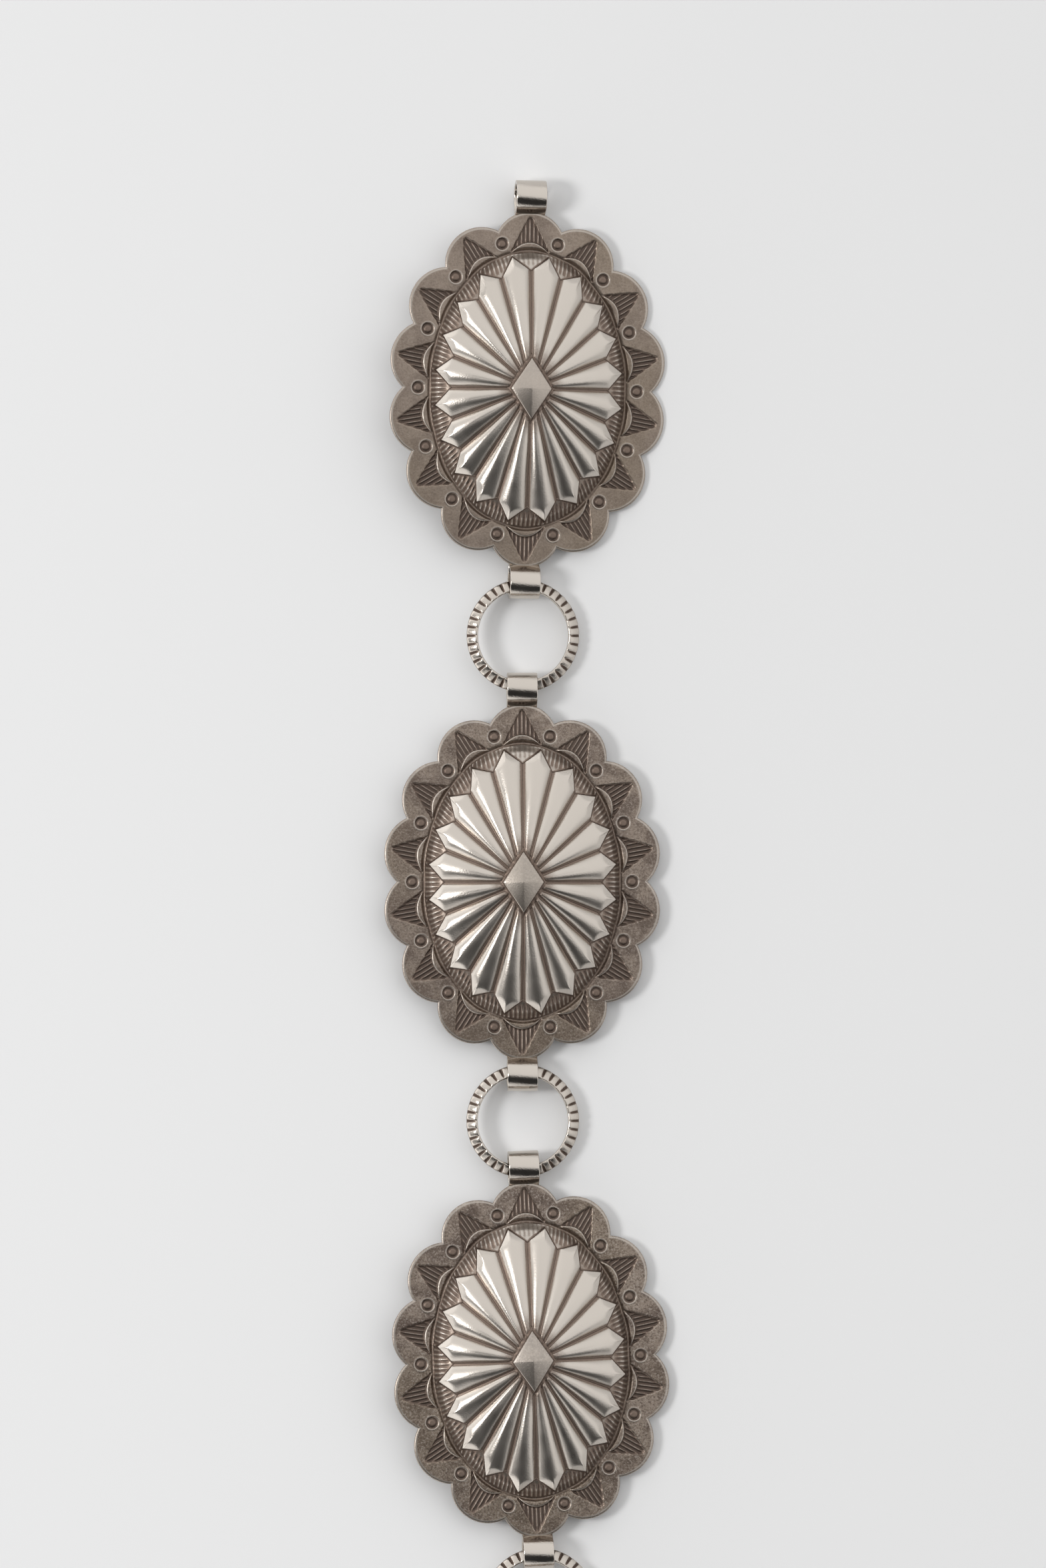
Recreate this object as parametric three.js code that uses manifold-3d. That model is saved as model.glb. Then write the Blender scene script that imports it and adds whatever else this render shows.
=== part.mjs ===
// Linked concho belt of stamped silver, laid out straight and face up on a flat surface.
// Lengths are millimetres. +Z is up, +Y runs along the belt towards its free bail, and the
// origin is on the surface, under the middle of the belt.

import * as THREE from 'three';
import { mergeVertices } from 'three/addons/utils/BufferGeometryUtils.js';
import Module from 'manifold-3d';

const wasm = await Module();
wasm.setup();

// Scalloped plate of a concho. plateLift is how high its back is carried by the bails.
const sheetThickness = 1.0;
const plateLift = 2.5;
const lobeCount = 14;
const notchHalfWidth = 23.15;
const notchHalfLength = 30.15;
const lobeRise = 2.7;

// Raised dome, with its ring of pointed petals and the diamond boss on top
const domeHalfWidth = 18.1;
const domeHalfLength = 25.4;
const domeWallHeight = 1.2;
const domeWallSpread = 0.4;
const domeHeight = 6.2;
const domeRoundness = 1.7;
const petalCount = 20;
const petalTipSetback = 0.7;
const petalGableDepth = 3.0;
const petalStep = 0.5;
const petalRidge = 0.95;
const petalRoot = 0.05;
const petalCrown = 0.72;
const grooveFloor = 0.12;
const bossHalfWidth = 3.8;
const bossHalfLength = 5.7;
const bossHeight = 1.6;
const bossEdgeHeight = 0.9;

// Bails: a strip rolled over a rod, its two ends soldered together under an end lobe
const bailWidth = 5.6;
const bailStrip = 0.7;
const boreRadius = 2.4;
const boreFromNotches = 5.5;
const bailTail = 6.5;
const solderDepth = 0.2;

// Round links of filed wire
const linkOuterRadius = 10.45;
const linkWireWidth = 2.1;
const linkWireHeight = 2.0;
const linkDrop = 0.2;

// Section of the link's wire: shares of its width from the inside, and of its height from the middle
const linkSection = [
  { across: 0, up: -0.2 },
  { across: 0.25, up: -0.5 },
  { across: 0.7, up: -0.5 },
  { across: 1, up: -0.1 },
  { across: 0.15, up: 0.5 },
  { across: 0, up: 0.38 },
];

// Plain wire hook at the far end
const hookWire = 1.8;
const hookEyeRoom = 1.6;
const hookDrop = 0.6;
const hookShank = 7.5;
const hookBendRadius = 2.6;
const hookReturn = 4.5;
const hookFlare = 1.2;

// Room kept between pieces that touch on the real belt
const clearance = 0.3;

// How each concho lies, from the free bail on: its turn about +Z, its roll to the right as a
// share of the roll at which a side lobe touches the surface, and for the link below it the
// lean to the right and how far the link is drawn out (+1) or pushed together (-1).
const lay = [
  { turnDegrees: -0.98, roll: 1.0, linkLeanDegrees: -1.1, linkPull: 1.0 },
  { turnDegrees: 0.05, roll: 0.35, linkLeanDegrees: 0.65, linkPull: -1.0 },
  { turnDegrees: 2.2, roll: 0.6, linkLeanDegrees: 1.6, linkPull: 0.4 },
  { turnDegrees: 0.4, roll: -0.4, linkLeanDegrees: -0.4, linkPull: 0.2 },
  { turnDegrees: -1.2, roll: 0.0, linkLeanDegrees: -1.2, linkPull: 0.6 },
  { turnDegrees: -1.6, roll: -1.0, linkLeanDegrees: -1.4, linkPull: 0.3 },
  { turnDegrees: -0.8, roll: -0.3, linkLeanDegrees: -0.2, linkPull: 0.5 },
  { turnDegrees: 0.2, roll: 0.5, linkLeanDegrees: 0.3, linkPull: 0.1 },
  { turnDegrees: 0.6, roll: 0.2 },
];

// Facets of the round shapes
const facetsPerLobe = 4;
const undersideColumns = 20;
const bailFacets = 12;
const linkFacets = 24;
const hookWireFacets = 6;
const hookEyeFacets = 16;
const hookBendFacets = 6;

const conchoFinish = { color: 0xb3a89b, roughness: 0.34, metalness: 1.0 };
const linkFinish = { color: 0xa39687, roughness: 0.36, metalness: 1.0 };
const hookFinish = { color: 0xb9b2a6, roughness: 0.3, metalness: 1.0 };

const fullTurn = Math.PI * 2;
const rollRadius = boreRadius + bailStrip;
const boreHeight = rollRadius * Math.cos(Math.PI / bailFacets);
const boreReach = notchHalfLength + boreFromNotches;

// Turns a closed three.js geometry into a solid that can be joined and cut
function solidOf(geometry) {
  geometry.deleteAttribute('normal');
  geometry.deleteAttribute('uv');
  const merged = mergeVertices(geometry, 1e-5);
  return new wasm.Manifold(new wasm.Mesh({
    numProp: 3,
    vertProperties: new Float32Array(merged.attributes.position.array),
    triVerts: new Uint32Array(merged.index.array),
  }));
}

// Turns a solid back into a three.js geometry
function geometryOf(solid) {
  const mesh = solid.getMesh();
  const geometry = new THREE.BufferGeometry();
  geometry.setAttribute('position', new THREE.BufferAttribute(new Float32Array(mesh.vertProperties), 3));
  geometry.setIndex(new THREE.BufferAttribute(new Uint32Array(mesh.triVerts), 1));
  geometry.computeVertexNormals();
  return geometry;
}

// Angles that cut an ellipse into stretches of equal length, from the +X axis round
function evenAngles(halfWidth, halfLength, count) {
  const samples = 7200;
  const travelled = [0];
  for (let i = 1; i <= samples; i += 1) {
    const angle = ((i - 0.5) / samples) * fullTurn;
    const speed = Math.hypot(halfWidth * Math.sin(angle), halfLength * Math.cos(angle));
    travelled.push(travelled[i - 1] + speed);
  }
  const angles = [];
  let sample = 0;
  for (let k = 0; k < count; k += 1) {
    while (travelled[sample] < (travelled[samples] * k) / count) sample += 1;
    angles.push((sample / samples) * fullTurn);
  }
  return angles;
}

function ellipsePoint(halfWidth, halfLength, angle) {
  return new THREE.Vector2(halfWidth * Math.cos(angle), halfLength * Math.sin(angle));
}

// The scalloped outline: each lobe is a round arc between two notches of an ellipse
function scallopedOutline() {
  const notchAngles = evenAngles(notchHalfWidth, notchHalfLength, lobeCount);
  const corners = [];
  notchAngles.forEach((startAngle, k) => {
    const endAngle = k + 1 < lobeCount ? notchAngles[k + 1] : fullTurn;
    const start = ellipsePoint(notchHalfWidth, notchHalfLength, startAngle);
    const end = ellipsePoint(notchHalfWidth, notchHalfLength, endAngle);
    const onEllipse = ellipsePoint(notchHalfWidth, notchHalfLength, (startAngle + endAngle) / 2);
    const chord = end.clone().sub(start);
    const outwards = new THREE.Vector2(chord.y, -chord.x).normalize();
    const halfChord = chord.length() / 2;
    const bulge = lobeRise + onEllipse.sub(start).dot(outwards);
    const arcRadius = (bulge ** 2 + halfChord ** 2) / (2 * bulge);
    const halfSweep = Math.atan2(halfChord, arcRadius - bulge);
    for (let j = 0; j < facetsPerLobe; j += 1) {
      const share = j / facetsPerLobe;
      const sweep = halfSweep * (2 * share - 1);
      const along = 0.5 + (arcRadius * Math.sin(sweep)) / (2 * halfChord);
      const out = arcRadius * Math.cos(sweep) - (arcRadius - bulge);
      const plan = start.clone().addScaledVector(chord, along).addScaledVector(outwards, out);
      corners.push({ angle: startAngle + (endAngle - startAngle) * share, plan });
    }
  });
  return corners;
}

const outline = scallopedOutline();
const plateHalfWidth = Math.max(...outline.map((corner) => corner.plan.x));

// Height of the dome at the level of its grooves
function domeSurface(plan) {
  const share = Math.min(1, Math.hypot(plan.x / domeHalfWidth, plan.y / domeHalfLength));
  const crown = 1 - share ** domeRoundness;
  return plateLift + sheetThickness + domeWallHeight + (domeHeight - domeWallHeight) * crown;
}

function raised(plan, height) {
  return new THREE.Vector3(plan.x, plan.y, height);
}

// Fills the band between two loops with triangles, stepping along whichever loop lags behind
function fillBand(triangles, first, second) {
  const alike = first.length === second.length;
  const turnAt = (loop, k) => (alike ? k : loop[k % loop.length].angle + fullTurn * Math.floor(k / loop.length));
  const pointAt = (loop, k) => loop[k % loop.length].point;
  let i = 0;
  let j = 0;
  while (i < first.length || j < second.length) {
    if (turnAt(first, i + 1) <= turnAt(second, j + 1)) {
      triangles.push(pointAt(first, i), pointAt(second, j), pointAt(first, i + 1));
      i += 1;
    } else {
      triangles.push(pointAt(first, i), pointAt(second, j), pointAt(second, j + 1));
      j += 1;
    }
  }
}

// The stamped plate alone, as loops from the boss out to the lobes and back in underneath
function plateSolid() {
  const tipHalfWidth = domeHalfWidth - petalTipSetback;
  const tipHalfLength = domeHalfLength - petalTipSetback;
  const valleyHalfWidth = tipHalfWidth - petalGableDepth;
  const valleyHalfLength = tipHalfLength - petalGableDepth;
  const columnAngles = evenAngles(valleyHalfWidth, valleyHalfLength, petalCount * 2);
  const isRidge = (k) => k % 2 === 1;

  const bossEdge = (angle) => {
    const spread = Math.abs(Math.cos(angle)) + Math.abs(Math.sin(angle));
    return ellipsePoint(bossHalfWidth, bossHalfLength, angle).divideScalar(spread);
  };
  const petalEnd = (angle, k) => (isRidge(k)
    ? ellipsePoint(tipHalfWidth, tipHalfLength, angle)
    : ellipsePoint(valleyHalfWidth, valleyHalfLength, angle));
  const loopOf = (angles, place) => angles.map((angle, k) => ({ angle, point: place(angle, k) }));
  const petalLoop = (share, ridgeRise) => loopOf(columnAngles, (angle, k) => {
    const plan = bossEdge(angle).lerp(petalEnd(angle, k), share);
    return raised(plan, domeSurface(plan) + (isRidge(k) ? ridgeRise : grooveFloor));
  });
  const domeLoop = (angles, inset, height) => loopOf(angles, (angle) => raised(
    ellipsePoint(domeHalfWidth - inset, domeHalfLength - inset, angle),
    height,
  ));
  const insideAngles = evenAngles(domeHalfWidth, domeHalfLength, undersideColumns);
  const insideLoop = (share) => loopOf(insideAngles, (angle) => {
    const plan = ellipsePoint(domeHalfWidth, domeHalfLength, angle).multiplyScalar(share);
    return raised(plan, domeSurface(plan) - sheetThickness);
  });
  const rimLoop = (height) => outline.map(({ angle, plan }) => ({ angle, point: raised(plan, height) }));

  const top = plateLift + sheetThickness;
  const stepFoot = loopOf(columnAngles, (angle, k) => {
    const plan = petalEnd(angle, k);
    plan.setLength(plan.length() + petalStep / 2);
    return raised(plan, domeSurface(plan));
  });
  const bossAngles = evenAngles(1, 1, 4);
  const loops = [
    loopOf(bossAngles, (angle) => raised(bossEdge(angle), domeSurface(bossEdge(angle)) + bossEdgeHeight)),
    petalLoop(petalRoot, petalRidge / 2),
    petalLoop(petalCrown, petalRidge),
    petalLoop(1, petalStep),
    stepFoot,
    domeLoop(columnAngles, 0, top + domeWallHeight),
    domeLoop(columnAngles, -domeWallSpread, top),
    rimLoop(top),
    rimLoop(plateLift),
    domeLoop(insideAngles, sheetThickness - domeWallSpread, plateLift),
    domeLoop(insideAngles, sheetThickness, plateLift + domeWallHeight),
    insideLoop(0.6),
    insideLoop(0.22),
  ];
  const triangles = [];
  const centre = new THREE.Vector2(0, 0);
  const apex = raised(centre, domeSurface(centre) + bossHeight);
  const ceiling = raised(centre, domeSurface(centre) - sheetThickness);
  const firstLoop = loops[0];
  const lastLoop = loops[loops.length - 1];
  firstLoop.forEach(({ point }, k) => {
    triangles.push(apex, point, firstLoop[(k + 1) % firstLoop.length].point);
  });
  for (let k = 0; k + 1 < loops.length; k += 1) fillBand(triangles, loops[k], loops[k + 1]);
  lastLoop.forEach(({ point }, k) => {
    triangles.push(ceiling, lastLoop[(k + 1) % lastLoop.length].point, point);
  });
  return solidOf(new THREE.BufferGeometry().setFromPoints(triangles));
}

// A round bar across the belt at the place of the +Y bail
function crossBar(radius, length) {
  const bar = new THREE.CylinderGeometry(radius, radius, length, bailFacets, 1, false, Math.PI / bailFacets);
  bar.rotateZ(Math.PI / 2);
  bar.translate(0, boreReach, boreHeight);
  return solidOf(bar);
}

// The two ends of the bail's strip, lying on each other under the end lobe
function bailTailSolid() {
  const height = bailStrip * 2 + solderDepth;
  const tail = new THREE.BoxGeometry(bailWidth, bailTail, height);
  tail.translate(0, boreReach - bailTail / 2, plateLift + solderDepth - height / 2);
  return solidOf(tail);
}

// A whole concho: plate and both bails soldered into one piece, with open bores
function conchoGeometry() {
  const halfTurn = [0, 0, 180];
  const bail = crossBar(rollRadius, bailWidth).add(bailTailSolid());
  const bore = crossBar(boreRadius, bailWidth * 2);
  const whole = plateSolid()
    .add(bail)
    .add(bail.rotate(halfTurn))
    .subtract(bore)
    .subtract(bore.rotate(halfTurn));
  return geometryOf(whole);
}

// A link of wire whose upper face slopes down to the outside
function linkGeometry() {
  const section = linkSection.map(({ across, up }) => new THREE.Vector2(
    linkOuterRadius - linkWireWidth * (1 - across),
    linkWireHeight * up,
  ));
  section.push(section[0].clone());
  const link = new THREE.LatheGeometry(section, linkFacets);
  link.rotateX(Math.PI / 2);
  return geometryOf(solidOf(link));
}

const hookEyeRadius = bailWidth / 2 + hookWire / 2 + hookEyeRoom;

// The hook: a flat eye round the last bail, a straight shank, and a bend back over the shank
function hookGeometry() {
  const eye = new THREE.TorusGeometry(hookEyeRadius, hookWire / 2, hookWireFacets, hookEyeFacets);
  const route = new THREE.CurvePath();
  const bendStart = new THREE.Vector3(0, -hookEyeRadius - hookShank, 0);
  const bendEnd = bendStart.clone().setZ(hookBendRadius * 2);
  const returnEnd = bendEnd.clone().add(new THREE.Vector3(0, hookReturn, 0));
  const tip = returnEnd.clone().add(new THREE.Vector3(0, hookFlare, hookFlare));
  const handle = (hookBendRadius * 4) / 3;
  route.add(new THREE.LineCurve3(new THREE.Vector3(0, -hookEyeRadius, 0), bendStart));
  route.add(new THREE.CubicBezierCurve3(
    bendStart,
    bendStart.clone().add(new THREE.Vector3(0, -handle, 0)),
    bendEnd.clone().add(new THREE.Vector3(0, -handle, 0)),
    bendEnd,
  ));
  route.add(new THREE.LineCurve3(bendEnd, returnEnd));
  route.add(new THREE.LineCurve3(returnEnd, tip));
  const steps = Math.ceil((route.getLength() / (Math.PI * hookBendRadius)) * hookBendFacets);
  const circle = new THREE.Shape();
  circle.absarc(0, 0, hookWire / 2, 0, fullTurn, false);
  const shank = new THREE.ExtrudeGeometry(circle, {
    steps,
    extrudePath: route,
    curveSegments: hookWireFacets / 2,
    bevelEnabled: false,
  });
  return geometryOf(solidOf(eye).add(solidOf(shank)));
}

// How far a link can be drawn out or pushed together before a corner of its wire comes within
// the clearance of the bore's wall. Inside a bail the wire curves towards the link's middle.
function linkPlay(drawnOut) {
  const innerRadius = linkOuterRadius - linkWireWidth;
  const curveSag = innerRadius - Math.sqrt(innerRadius ** 2 - (bailWidth / 2) ** 2);
  const room = boreRadius * Math.cos(Math.PI / bailFacets) - clearance;
  return Math.min(...linkSection.map(({ across, up }) => {
    const height = Math.abs(up * linkWireHeight - linkDrop);
    const fromMiddle = (across - 0.5) * linkWireWidth;
    const reach = drawnOut ? curveSag - fromMiddle : fromMiddle;
    return Math.sqrt(room ** 2 - height ** 2) - reach;
  }));
}

const fullRoll = Math.atan2(plateLift, plateHalfWidth - bailWidth / 2);

function addPiece(group, name, geometry, finish) {
  const piece = new THREE.Mesh(geometry, new THREE.MeshStandardMaterial(finish));
  piece.name = name;
  piece.rotation.order = 'ZYX';
  group.add(piece);
  return piece;
}

// Lays a concho down: turned, rolled, and lifted until its lowest edge is on the surface
function layConcho(concho, { turnDegrees, roll }) {
  const angle = fullRoll * Math.abs(roll);
  const bailEdge = (bailWidth / 2) * Math.sin(angle);
  const sideLobe = plateHalfWidth * Math.sin(angle) - plateLift * Math.cos(angle);
  concho.rotation.z = THREE.MathUtils.degToRad(turnDegrees);
  concho.rotation.y = fullRoll * roll;
  concho.position.z = Math.max(bailEdge, sideLobe);
}

// Where one of a concho's bores is: side is 1 at its +Y end and -1 at its -Y end
function boreCentre(concho, side) {
  concho.updateMatrix();
  return new THREE.Vector3(0, boreReach * side, boreHeight).applyMatrix4(concho.matrix);
}

const belt = new THREE.Group();
const conchoShape = conchoGeometry();
const linkShape = linkGeometry();
const linkMiddleRadius = linkOuterRadius - linkWireWidth / 2;
let above = null;

lay.forEach((row, k) => {
  const concho = addPiece(belt, `concho_${k + 1}`, conchoShape, conchoFinish);
  layConcho(concho, row);
  if (above) {
    const lean = THREE.MathUtils.degToRad(above.row.linkLeanDegrees);
    const pull = above.row.linkPull;
    const span = 2 * (linkMiddleRadius + pull * linkPlay(pull > 0));
    const start = boreCentre(above.concho, -1);
    const end = start.clone().add(new THREE.Vector3(Math.sin(lean), -Math.cos(lean), 0).multiplyScalar(span));
    const shift = end.sub(boreCentre(concho, 1));
    concho.position.x += shift.x;
    concho.position.y += shift.y;
    const link = addPiece(belt, `ring_${k}`, linkShape, linkFinish);
    link.position.copy(start).add(boreCentre(concho, 1)).divideScalar(2);
    link.position.z -= linkDrop;
    link.rotation.z = lean;
    link.rotation.y = (above.concho.rotation.y + concho.rotation.y) / 2;
  }
  above = { concho, row };
});

// The hook hangs from the last bail, and its bend lies on the surface
const hook = addPiece(belt, 'hook', hookGeometry(), hookFinish);
const lastBore = boreCentre(above.concho, -1);
const eyeWireHeight = lastBore.z - hookDrop;
const hookReach = hookEyeRadius * 2 + hookShank + hookBendRadius;
const hookPitch = Math.asin((eyeWireHeight - hookWire / 2) / hookReach);
hook.rotation.x = hookPitch;
hook.position.set(
  lastBore.x,
  lastBore.y - hookEyeRadius * Math.cos(hookPitch),
  eyeWireHeight - hookEyeRadius * Math.sin(hookPitch),
);

// Centres the belt on its origin
belt.updateMatrixWorld(true);
const middle = new THREE.Box3().setFromObject(belt, true).getCenter(new THREE.Vector3());
belt.position.set(-middle.x, -middle.y, 0);

export default belt;
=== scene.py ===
# %% [markdown]
# # A linked concho belt of stamped silver
#
# The belt is a row of oval silver plates, called conchos. Each one is a scalloped plate with a
# raised, fluted dome, and a rolled strip of silver, the bail, is soldered behind each end. Round
# links of filed wire run through the bails and join the plates into a belt, and a plain hook at
# the far end closes it.
#
# The frame that is loaded here already says where every piece lies. The scene makes each piece
# again with all its detail, lays it on its place in the frame, and gives it a finish of old silver.

# %% Load the frame
import math
import bpy
import numpy as np
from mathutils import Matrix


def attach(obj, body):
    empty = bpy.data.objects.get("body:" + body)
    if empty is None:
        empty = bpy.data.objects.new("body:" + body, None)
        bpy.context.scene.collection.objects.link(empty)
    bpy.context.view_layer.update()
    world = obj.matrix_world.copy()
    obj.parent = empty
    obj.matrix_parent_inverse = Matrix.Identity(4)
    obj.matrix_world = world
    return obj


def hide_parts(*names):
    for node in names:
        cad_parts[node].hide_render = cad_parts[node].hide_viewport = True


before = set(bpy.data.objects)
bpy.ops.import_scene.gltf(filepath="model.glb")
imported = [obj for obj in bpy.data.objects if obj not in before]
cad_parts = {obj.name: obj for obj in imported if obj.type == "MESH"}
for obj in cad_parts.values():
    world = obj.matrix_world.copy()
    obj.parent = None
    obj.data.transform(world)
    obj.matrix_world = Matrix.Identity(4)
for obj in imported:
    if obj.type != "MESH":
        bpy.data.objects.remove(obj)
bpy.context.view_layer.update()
MM = 0.001
conchos = sorted(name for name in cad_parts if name.startswith("concho"))
links = sorted(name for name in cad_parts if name.startswith("ring"))
print("frame:", len(conchos), "conchos,", len(links), "links and a hook")

# %% [markdown]
# ## Sizes
#
# All sizes are millimetres of the real object. The plate, the dome and the bails repeat the frame,
# because the fine surface has to lie on the solid that carries it. The stamps come on top: they are
# the marks that punches leave in the silver, and the frame has none of them. A pair of numbers is a
# half size across the belt and one along it.

# %% Sizes of the plate and the dome
SHEET = 1.0
PLATE_LIFT = 2.5
LOBES = 14
NOTCHES = (23.15, 30.15)
LOBE_RISE = 2.7
DOME = (18.1, 25.4)
DOME_WALL = 1.2
DOME_HEIGHT = 6.2
DOME_ROUNDNESS = 1.7
PETALS = 20
PETAL_TIPS = (17.4, 24.7)
PETAL_VALLEYS = (14.4, 21.7)
BOSS = (3.8, 5.7)
BOSS_EDGE = 0.9
BOSS_HEIGHT = 1.6
print("dome top", PLATE_LIFT + SHEET + DOME_HEIGHT, "mm over the surface")

# %% Sizes of the bails and the links
BAIL_WIDTH = 5.6
BAIL_STRIP = 0.7
BORE_RADIUS = 2.4
BORE_REACH = 35.65
BAIL_FACETS = 12
BAIL_TAIL = 6.5
ROLL_RADIUS = BORE_RADIUS + BAIL_STRIP
BORE_HEIGHT = ROLL_RADIUS * math.cos(math.pi / BAIL_FACETS)
LINK_RADIUS = 10.45
LINK_WIDTH = 2.1
LINK_HEIGHT = 2.0
print("bore centre", round(BORE_HEIGHT, 2), "mm over the surface")

# %% [markdown]
# ## Where each piece lies
#
# Every concho in the frame leans and turns a little, as things do when they are laid down by hand.
# We could copy a table of angles, but the frame can be measured instead: the middles of its two
# bails give the long axis, and the tip of the boss gives the way up.

# %% Measure the place of a piece in the frame
END_REACH = 0.4


def frame_points(node):
    """The different corners of a node of the frame, in millimetres."""
    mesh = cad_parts[node].data
    points = np.empty(len(mesh.vertices) * 3)
    mesh.vertices.foreach_get("co", points)
    return np.unique((points.reshape(-1, 3) / MM).round(4), axis=0)


def unit(vector):
    """A vector over its own length."""
    return vector / np.linalg.norm(vector)


def place_of_concho(node):
    """Origin and axes of a concho, from the far corners of its bails and the tip of its boss."""
    points = frame_points(node)
    north = points[points[:, 1] > points[:, 1].max() - END_REACH].mean(axis=0)
    south = points[points[:, 1] < points[:, 1].min() + END_REACH].mean(axis=0)
    tip = points[points[:, 2].argmax()]
    middle = (north + south) / 2
    along, up = unit(north - south), unit(tip - middle)
    return middle - up * BORE_HEIGHT, np.array([np.cross(along, up), along, up])


def place_of_link(node):
    """Centre and axes of a link: its normal is the direction in which its corners spread least."""
    points = frame_points(node)
    centre = points.mean(axis=0)
    up = np.linalg.svd(points - centre)[2][2]
    up = up * np.sign(up[2])
    heights = (points - centre) @ up
    centre = centre + up * (heights.max() + heights.min()) / 2
    across = unit(np.cross([0.0, 1.0, 0.0], up))
    return centre, np.array([across, np.cross(up, across), up])


def laid_out(points, place):
    """Points of a piece's own millimetre frame, carried to its place in the belt, in metres."""
    origin, axes = place
    return (origin + points @ axes) * MM


concho_places = {name: place_of_concho(name) for name in conchos}
link_places = {name: place_of_link(name) for name in links}
for name, (origin, axes) in concho_places.items():
    roll = math.degrees(math.asin(-axes[0][2]))
    print(name, "at", origin.round(2), "rolled", round(roll, 2), "degrees")

# %% [markdown]
# ## Helpers for curves and heights
#
# A stamped surface is easy to describe as a height over a plan: each tool leaves a small step or
# ridge, and smooth steps and rounded ridges added together make the whole pattern.

# %% Steps, mixes and ellipses
ARC_STEPS = 7200


def smooth_step(low, high, x):
    """0 below low, 1 above high, and the cubic 3t^2 - 2t^3 of the way t between them."""
    t = np.clip((x - low) / (high - low), 0.0, 1.0)
    return t * t * (3 - 2 * t)


def mix(a, b, t):
    """The value a share t of the way from a to b."""
    return a + (b - a) * t


def ellipse(half_sizes, angle):
    """Point (a cos t, b sin t) of an ellipse."""
    return np.stack([half_sizes[0] * np.cos(angle), half_sizes[1] * np.sin(angle)], axis=-1)


def even_angle(half_sizes, share):
    """Angle on an ellipse after a share of its whole arc, which is summed in small steps."""
    fine = np.linspace(0.0, 2 * np.pi, ARC_STEPS + 1)
    middle = (fine[1:] + fine[:-1]) / 2
    speed = np.hypot(half_sizes[0] * np.sin(middle), half_sizes[1] * np.cos(middle))
    travelled = np.concatenate([[0.0], np.cumsum(speed)])
    turns = np.floor(share)
    return np.interp((share - turns) * travelled[-1], travelled, fine) + 2 * np.pi * turns


def length_of(vectors):
    """Length of each vector, the root of the sum of its squares."""
    return np.linalg.norm(vectors, axis=-1)


def soft_lower(a, b, width):
    """The lower of two heights, rounded where they cross: their mean less half sqrt(d^2 + w^2)."""
    return (a + b - np.sqrt((a - b) ** 2 + width**2)) / 2 + width / 4


print("an eighth of the way round the dome is", even_angle(DOME, 0.125).round(3), "radians")

# %% [markdown]
# ## The lobed outline
#
# The smith cuts the plate's edge into round lobes. Each lobe is an arc of a circle through two
# neighbouring notches, and the notches stand at equal steps along an ellipse.

# %% Outline of the plate
FINE_COLUMNS = 1120


def lobed_outline(share):
    """Point of the outline after a share of the way round, on the arc between two notches.

    An arc with half chord h and bulge b has the radius (b^2 + h^2) / 2b.
    """
    lobe = np.floor(share * LOBES)
    along = share * LOBES - lobe
    start_angle = even_angle(NOTCHES, lobe / LOBES)
    end_angle = even_angle(NOTCHES, (lobe + 1) / LOBES)
    start, end = ellipse(NOTCHES, start_angle), ellipse(NOTCHES, end_angle)
    crown = ellipse(NOTCHES, (start_angle + end_angle) / 2)
    chord = end - start
    half = length_of(chord) / 2
    outwards = np.stack([chord[..., 1], -chord[..., 0]], axis=-1) / (2 * half[..., None])
    bulge = LOBE_RISE + np.sum((crown - start) * outwards, axis=-1)
    radius = (bulge**2 + half**2) / (2 * bulge)
    sweep = np.arctan2(half, radius - bulge) * (2 * along - 1)
    forward = 0.5 + radius * np.sin(sweep) / (2 * half)
    out = radius * np.cos(sweep) - (radius - bulge)
    return start + chord * forward[..., None] + outwards * out[..., None]


edge = lobed_outline(np.arange(FINE_COLUMNS) / FINE_COLUMNS)
print("plate", (edge.max(axis=0) - edge.min(axis=0)).round(2), "mm")

# %% [markdown]
# ## Closed skins from rows of points
#
# A round thing can be drawn as closed rows of points, one inside the other. A row can also have
# twice as many points as its neighbour, so the fine stamps get a fine grid and the plain underside
# gets a coarse one. The first and last rows close on a pole.

# %% Join rows into a skin
def skin(rows):
    """Quads and triangles between closed rows, listed from the top pole round to the last pole."""
    starts = 1 + np.concatenate([[0], np.cumsum([len(row) for row in rows])])
    quads, triangles = [], []
    first, last = np.arange(len(rows[0])), np.arange(len(rows[-1]))
    pole = np.zeros_like(first)
    triangles.append(np.stack([pole, 1 + first, 1 + np.roll(first, -1)], axis=1))
    for i in range(len(rows) - 1):
        inner = starts[i] + np.arange(len(rows[i]))
        outer = starts[i + 1] + np.arange(len(rows[i + 1]))
        inner_next, outer_next = np.roll(inner, -1), np.roll(outer, -1)
        if len(inner) == len(outer):
            quads.append(np.stack([inner, outer, outer_next, inner_next], axis=1))
        elif len(outer) == 2 * len(inner):
            even, odd, after = outer[::2], outer[1::2], outer_next[1::2]
            triangles.append(np.stack([inner, even, odd], axis=1))
            triangles.append(np.stack([inner, odd, inner_next], axis=1))
            triangles.append(np.stack([inner_next, odd, after], axis=1))
        else:
            even, odd, after = inner[::2], inner[1::2], inner_next[1::2]
            triangles.append(np.stack([even, outer, odd], axis=1))
            triangles.append(np.stack([odd, outer, outer_next], axis=1))
            triangles.append(np.stack([odd, outer_next, after], axis=1))
    pole = np.full_like(last, starts[-1])
    last = starts[-2] + last
    triangles.append(np.stack([pole, np.roll(last, -1), last], axis=1))
    return np.concatenate(quads), np.concatenate(triangles)


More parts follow.
